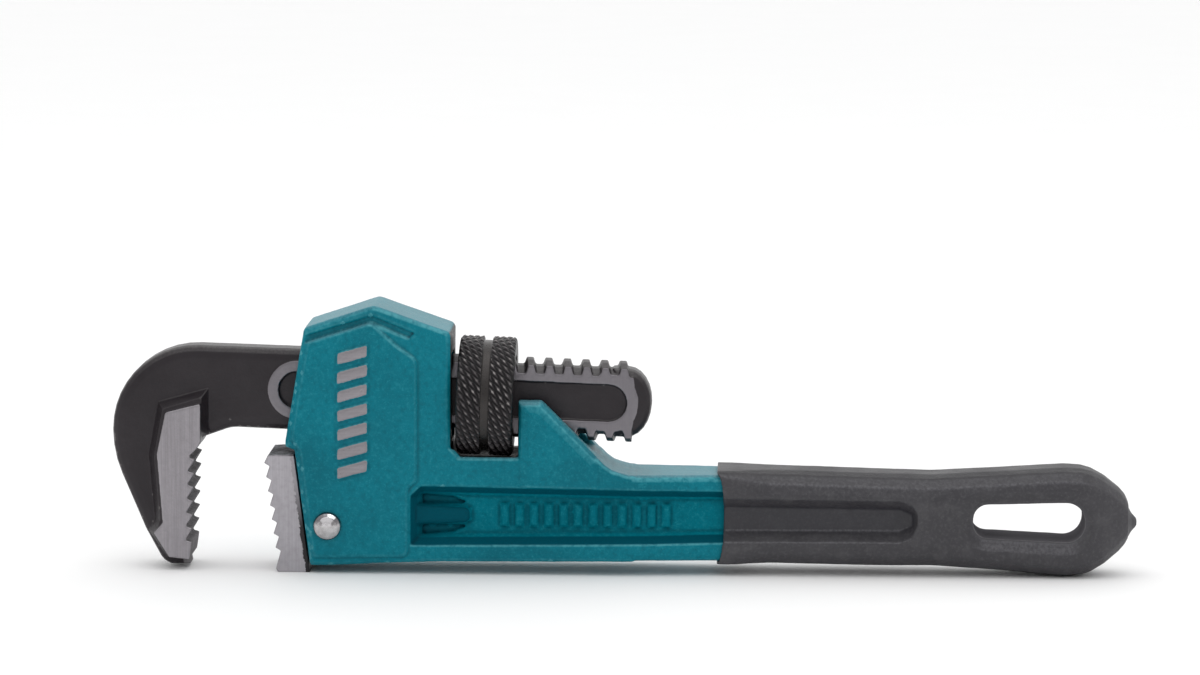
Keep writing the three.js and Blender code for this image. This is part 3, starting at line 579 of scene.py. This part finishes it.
def nut_oxide():
    """Oxide worn to grey in patches on the knurl's points and to a steel sheen in the groove; painted
    shade dims the points on the underside.
    """
    shade = Shade("nut_oxide")
    looks = black_oxide(shade)
    centred = {0: shade.place, 1: tuple(NUT_CENTRE)}
    away = shade.node("ShaderNodeVectorMath", centred, operation="SUBTRACT").outputs[0]
    radius = nut_radius(shade, away)
    blotch = shade.noise(2.2 * MM, detail=2, rough=0.6)
    pits = shade.fall(radius, NUT_RADIUS - 0.46 * MM, NUT_RADIUS - 0.2 * MM)
    # The worn points fade out towards the underside: painted shade.
    tips = shade.product(
        shade.ramp(radius, NUT_RADIUS - 0.12 * MM, NUT_RADIUS - 0.005 * MM),
        shade.ramp(blotch, 0.38, 0.6, 0.08, 1.0),
        shade.upward(-1.1, 0.0),
    )
    band = nut_band(shade, away, radius)
    for share, color in ((pits, KNURL_PIT), (tips, KNURL_TIP), (band, NUT_BAND)):
        looks["color"] = shade.mix(share, looks["color"], color)
    looks["roughness"] = shade.math("SUBTRACT", looks["roughness"], shade.product(band, 0.08))
    metallic = shade.math("MAXIMUM", shade.ramp(band, 0, 1, 0.2, 0.8), shade.ramp(tips, 0, 1, 0.2, 0.7))
    return shade.finish(metallic=metallic, specular=0.35, **looks)


def heel_burr(shade, mottle):
    """1 in the ragged dark line of burr and dirt along the heel jaw's back edge, mostly low down."""
    inwards = shade.math("ADD", shade.axis("X"), shade.product(shade.axis("Z"), SEAT_LEAN))
    near = shade.ramp(inwards, SEAT_FOOT - 1.7 * MM, SEAT_FOOT - 0.35 * MM, -0.15, 0.75)
    ragged = shade.math("ADD", near, shade.math("SUBTRACT", mottle, 0.5))
    low = shade.ramp(shade.axis("Z"), 9 * MM, 17 * MM, 1.0, 0.25)
    return shade.product(shade.ramp(ragged, 0.42, 0.5), low)


def heel_lip(shade):
    """1 on the thin dark line round the heel jaw, just under its top face."""
    high = shade.ramp(shade.axis("Z"), HEEL_TOP - 0.45 * MM, HEEL_TOP - 0.2 * MM)
    return shade.math("SUBTRACT", high, shade.upward(0.2, 0.5), clamp=True)


def ground_steel():
    """Ground flats, brushed top to bottom, with the dark burr lines that grinding leaves on edges."""
    shade = Shade("ground_steel")
    scratches = brushed(shade, "Z")
    blotch = shade.noise(5 * MM, detail=2, rough=0.5)
    mottle = shade.noise(0.6 * MM, detail=3, rough=0.7)
    color = shade.mix(shade.ramp(scratches, 0.1, 0.75), HEEL_DARK, HEEL_PALE)
    color = shade.mix(shade.ramp(mottle, 0.45, 0.75, 0.0, 0.30), color, STEEL_DARK)
    color = shade.mix(shade.ramp(blotch, 0.4, 0.7, 0.0, 0.25), color, STEEL_DARK)
    color = shade.mix(shade.edges(0.53, 0.60), color, HEEL_EDGE)
    color = shade.mix(heel_burr(shade, mottle), color, HEEL_BURR)
    # The top is seen at a grazing angle: patchy painted shade there, dull, with no reflection of the white
    # room.
    scale = shade.product(shade.upward(0.5, 0.9), shade.ramp(blotch, 0.35, 0.6, 1.0, 0.8))
    patchy = shade.mix(shade.ramp(mottle, 0.4, 0.65), TOPSIDE_SHADE_DARK, TOPSIDE_SHADE_PALE)
    color = shade.mix(scale, color, patchy)
    color = shade.mix(heel_lip(shade), color, HEEL_LIP)
    return shade.finish(
        color=color,
        roughness=shade.ramp(scratches, 0.3, 0.7, 0.32, 0.46),
        normal=shade.bump(scratches, 0.03 * MM),
        specular=shade.ramp(scale, 0, 0.7, 0.5, 0.0),
        metallic=shade.ramp(scale, 0, 0.7, 0.9, 0.0),
    )


def polished_pin():
    """Polished steel whose dome carries a painted reflection: the dark and bright bands of a studio."""
    shade = Shade("polished_pin")
    marks = shade.noise(0.6 * MM, detail=4, rough=0.7)
    color = shade.mix(shade.ramp(marks, 0.4, 0.7), PIN_DARK, PIN_PALE)
    # Painted reflection: dark above, bright bands and glints towards front and back, dark underneath.
    color = shade.mix(shade.upward(0.12, 0.30), color, PIN_REFLECTION_TOP)
    for side in (-1, 1):
        color = shade.mix(shade.facing((0, side, 0.30), 0.955, 0.975), color, PIN_REFLECTION_BAND)
        color = shade.mix(shade.facing((0.28, side * 0.75, 0.60), 0.968, 0.985), color, PIN_REFLECTION_GLINT)
    color = shade.mix(shade.upward(-0.85, -0.6), PIN_REFLECTION_UNDER, color)
    return shade.finish(
        color=color,
        roughness=shade.ramp(marks, 0.3, 0.8, 0.12, 0.32),
        normal=shade.bump(marks, 0.04 * MM),
        metallic=1.0,
    )


def spring_steel():
    """Drawn steel with faint marks along X."""
    shade = Shade("spring_steel")
    marks = shade.noise(0.4 * MM, detail=4, rough=0.6, place=shade.stretched(0.1, 1, 1))
    return shade.finish(
        color=shade.mix(marks, SPRING_DARK, SPRING_PALE),
        roughness=shade.ramp(marks, 0.3, 0.7, 0.28, 0.42),
        normal=shade.bump(marks, 0.03 * MM),
        metallic=1.0,
    )


# ---- pieces ------------------------------------------------------------------------------
def place_piece(piece, body, node, material):
    piece.data.materials.clear()
    piece.data.materials.append(material)
    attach(piece, body)
    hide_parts(node)


def casting():
    piece = refined("handle_frame", "frame_casting", voxel=0.27 * MM, rounds=3)
    undulate(piece, size=4 * MM, depth=0.05 * MM)
    undulate(piece, size=0.9 * MM, depth=0.012 * MM)
    place_piece(piece, "frame", "handle_frame", teal_enamel())


def grip():
    piece = refined("grip_sleeve", "vinyl_grip", voxel=0.21 * MM, rounds=14)
    undulate(piece, size=9 * MM, depth=0.05 * MM)
    undulate(piece, size=2.2 * MM, depth=0.02 * MM)
    place_piece(piece, "frame", "grip_sleeve", dipped_vinyl())


def hook():
    piece = refined("hook_jaw", "hook_forging", voxel=0.19 * MM, rounds=2)
    undulate(piece, size=3 * MM, depth=0.02 * MM)
    place_piece(piece, "hook", "hook_jaw", hook_oxide())


def heel():
    piece = refined("heel_jaw", "heel_block", voxel=0.14 * MM, rounds=1)
    place_piece(piece, "frame", "heel_jaw", ground_steel())


def pin():
    piece = refined("heel_jaw_pin", "domed_pin", voxel=0.11 * MM, rounds=5)
    place_piece(piece, "frame", "heel_jaw_pin", polished_pin())


def springs():
    material = spring_steel()
    for node, name in (("flat_spring", "leaf_spring"), ("spring_rivet", "leaf_rivet")):
        piece = refined(node, name, voxel=0.14 * MM, rounds=2)
        place_piece(piece, "rocker", node, material)
    coil = refined("coil_spring", "coil_wire", voxel=0.09 * MM, rounds=3)
    place_piece(coil, "frame", "coil_spring", material)
    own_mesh(coil)


# ---- the knurled nut -----------------------------------------------------------------------
def triangle_wave(phase):
    """0 at whole numbers and 1 half-way between them."""
    return 1 - np.abs(2 * (phase % 1) - 1)


def knurl_height(angle, along):
    """0 in the knurl's grooves and 1 on its worn, slightly flattened points."""
    height = np.full(len(angle), KNURL_WORN)
    for count, pitch in (KNURL_SLANTED, KNURL_STEEP):
        height = np.minimum(height, triangle_wave(angle / (2 * math.pi) * count - along / pitch))
    return height / KNURL_WORN


def nut_outside():
    """Half of the outer profile, from the groove's middle to the rim: [along, radius, knurl's share]."""
    half = NUT_LENGTH / 2
    floor = NUT_RADIUS - NUT_GROOVE
    edge = NUT_GROOVE_HALF + 0.15 * MM
    rows = [(0, floor, 0), (0.6 * NUT_GROOVE_HALF, floor, 0), (NUT_GROOVE_HALF, floor, 0)]
    rows += [(NUT_GROOVE_HALF + 0.07 * MM, floor + 0.6 * NUT_GROOVE, 0), (edge, NUT_RADIUS, 1)]
    rows += [(place, NUT_RADIUS, 1) for place in np.linspace(edge, half - NUT_RIM, NUT_KNURL_RINGS)[1:]]
    for angle in np.linspace(0, math.pi / 2, NUT_RIM_RINGS)[1:]:
        rows.append((half - NUT_RIM + NUT_RIM * math.sin(angle),
                     NUT_RADIUS - NUT_RIM + NUT_RIM * math.cos(angle), math.cos(angle)))
    return rows


def bore_radius(angle, along):
    """Radius of the threaded bore, whose grooves clear the shank's crests."""
    turn = angle / (2 * math.pi)
    off = (along - THREAD_PHASE) / THREAD_PITCH - turn
    off = np.abs(off - np.round(off)) * THREAD_PITCH
    return np.interp(off, [GROOVE_FLAT, GROOVE_FLAT + THREAD_FLANK], [BORE_MAJOR, BORE_MINOR])


def nut_rings(angle):
    """Rings of [along, radius] in one closed round: outside, right face, bore and left face."""
    half = NUT_LENGTH / 2
    right = nut_outside()
    left = [(-along, radius, share) for along, radius, share in reversed(right[1:])]
    rings = []
    for along, radius, share in left + right:
        rings.append((along, radius - KNURL_DEPTH * share * (1 - knurl_height(angle, along))))
    face = NUT_RADIUS - NUT_RIM
    inwards = (0.03, 0.35, 0.7, 0.97)  # shares of the way from the rim to the bore
    for step in inwards:
        rings.append((half, face + (bore_radius(angle, half) - face) * step))
    for along in np.linspace(half, -half, NUT_BORE_RINGS):
        rings.append((along, bore_radius(angle, along)))
    for step in reversed(inwards):
        rings.append((-half, face + (bore_radius(angle, -half) - face) * step))
    return rings


def nut():
    """One closed grid: across the knurled outside, over both faces and through the threaded bore."""
    angle = np.linspace(0, 2 * math.pi, NUT_SIDES, endpoint=False)
    rings = nut_rings(angle)
    spokes = np.outer(np.cos(angle), NUT_UP) - np.outer(np.sin(angle), (0, 1, 0))
    points = []
    for along, radius in rings:
        centre = np.array(NUT_CENTRE) + along * np.array(NUT_AXIS)
        points.append(centre + radius[:, None] * spokes)
    faces = []
    for ring in range(len(rings)):
        here = ring * NUT_SIDES
        there = ((ring + 1) % len(rings)) * NUT_SIDES
        for side in range(NUT_SIDES):
            beside = (side + 1) % NUT_SIDES
            faces.append((here + side, here + beside, there + beside, there + side))
    mesh = bpy.data.meshes.new("knurled_nut")
    mesh.from_pydata(np.concatenate(points).tolist(), [], faces)
    piece = add_object("knurled_nut", mesh)
    face_outwards(piece)
    shade_smooth(piece)
    place_piece(piece, "nut", "adjusting_nut", nut_oxide())


# ---- scene -------------------------------------------------------------------------------
FLOOR_HALF = 3.0  # metres
SKY_LEVEL = 0.775
SKY_SLOPE = (0.0, 0.24, 0.32)  # what the sky gains towards the back and the top
TOP_POWER = 2.4  # watts
FRONT_POWER = 0.35
VIEW_WIDTH = 234.834 * MM  # how much of the tool's plane the picture spans
LIGHTS_AIM = (0, 0, 0.02)


def floor():
    mesh = bpy.data.meshes.new("floor")
    half = FLOOR_HALF
    corners = [(-half, -half, 0), (half, -half, 0), (half, half, 0), (-half, half, 0)]
    mesh.from_pydata(corners, [], [(0, 1, 2, 3)])
    sheet = add_object("floor", mesh)
    shade = Shade("pale_floor")
    color = shade.mix(shade.noise(20 * MM, detail=2, rough=0.5), FLOOR_DARK, FLOOR_PALE)
    mesh.materials.append(shade.finish(color=color, roughness=0.7, specular=0.2))


def lamp(name, place, size, power):
    light = bpy.data.lights.new(name, "AREA")
    light.shape = "RECTANGLE"
    light.size, light.size_y = size
    light.energy = power
    holder = bpy.data.objects.new(name, light)
    holder.location = place
    direction = Vector(LIGHTS_AIM) - Vector(place)
    holder.rotation_euler = direction.to_track_quat("-Z", "Y").to_euler()
    bpy.context.collection.objects.link(holder)


def sky():
    """White all round, a little brighter from above and darker towards the viewer."""
    world = bpy.data.worlds.new("studio")
    world.use_nodes = True
    tree = world.node_tree
    direction = tree.nodes.new("ShaderNodeTexCoord").outputs["Generated"]
    slope = tree.nodes.new("ShaderNodeVectorMath")
    slope.operation = "DOT_PRODUCT"
    slope.inputs[1].default_value = SKY_SLOPE
    level = tree.nodes.new("ShaderNodeMath")
    level.operation = "ADD"
    level.inputs[1].default_value = SKY_LEVEL
    background = tree.nodes["Background"]
    background.inputs["Color"].default_value = (1.0, 1.0, 1.0, 1.0)
    tree.links.new(direction, slope.inputs[0])
    tree.links.new(slope.outputs["Value"], level.inputs[0])
    tree.links.new(level.outputs[0], background.inputs["Strength"])
    bpy.context.scene.world = world


def studio():
    sky()
    lamp("top_softbox", place=(0.0, -0.1, 1.2), size=(1.2, 0.8), power=TOP_POWER)
    lamp("front_softbox", place=(0.12, -0.62, 0.85), size=(0.7, 0.16), power=FRONT_POWER)
    bpy.context.scene.view_settings.view_transform = "Standard"


def camera():
    """A long lens a metre off, seven degrees above the tool and a little to its right."""
    azimuth = math.radians(1.8)
    elevation = math.radians(7.0)
    roll = math.radians(0.29)
    distance = 0.976
    target = Vector((-0.00495, 0, 0.04587))
    away = Vector((
        math.sin(azimuth) * math.cos(elevation),
        -math.cos(azimuth) * math.cos(elevation),
        math.sin(elevation),
    ))
    right = Vector((math.cos(azimuth), math.sin(azimuth), 0))
    up = away.cross(right)
    lean = Matrix.Rotation(-roll, 3, "Y")
    away, right, up = lean @ away, lean @ right, lean @ up
    lens = bpy.data.cameras.new("camera")
    lens.sensor_width = 36
    lens.lens = lens.sensor_width * distance / VIEW_WIDTH
    lens.clip_start = 0.01
    holder = bpy.data.objects.new("camera", lens)
    pose = Matrix((right, up, away)).transposed().to_4x4()
    pose.translation = target + away * distance
    holder.matrix_world = pose
    bpy.context.collection.objects.link(holder)
    bpy.context.scene.camera = holder


camera()
studio()
floor()
casting()
grip()
hook()
heel()
pin()
nut()
springs()
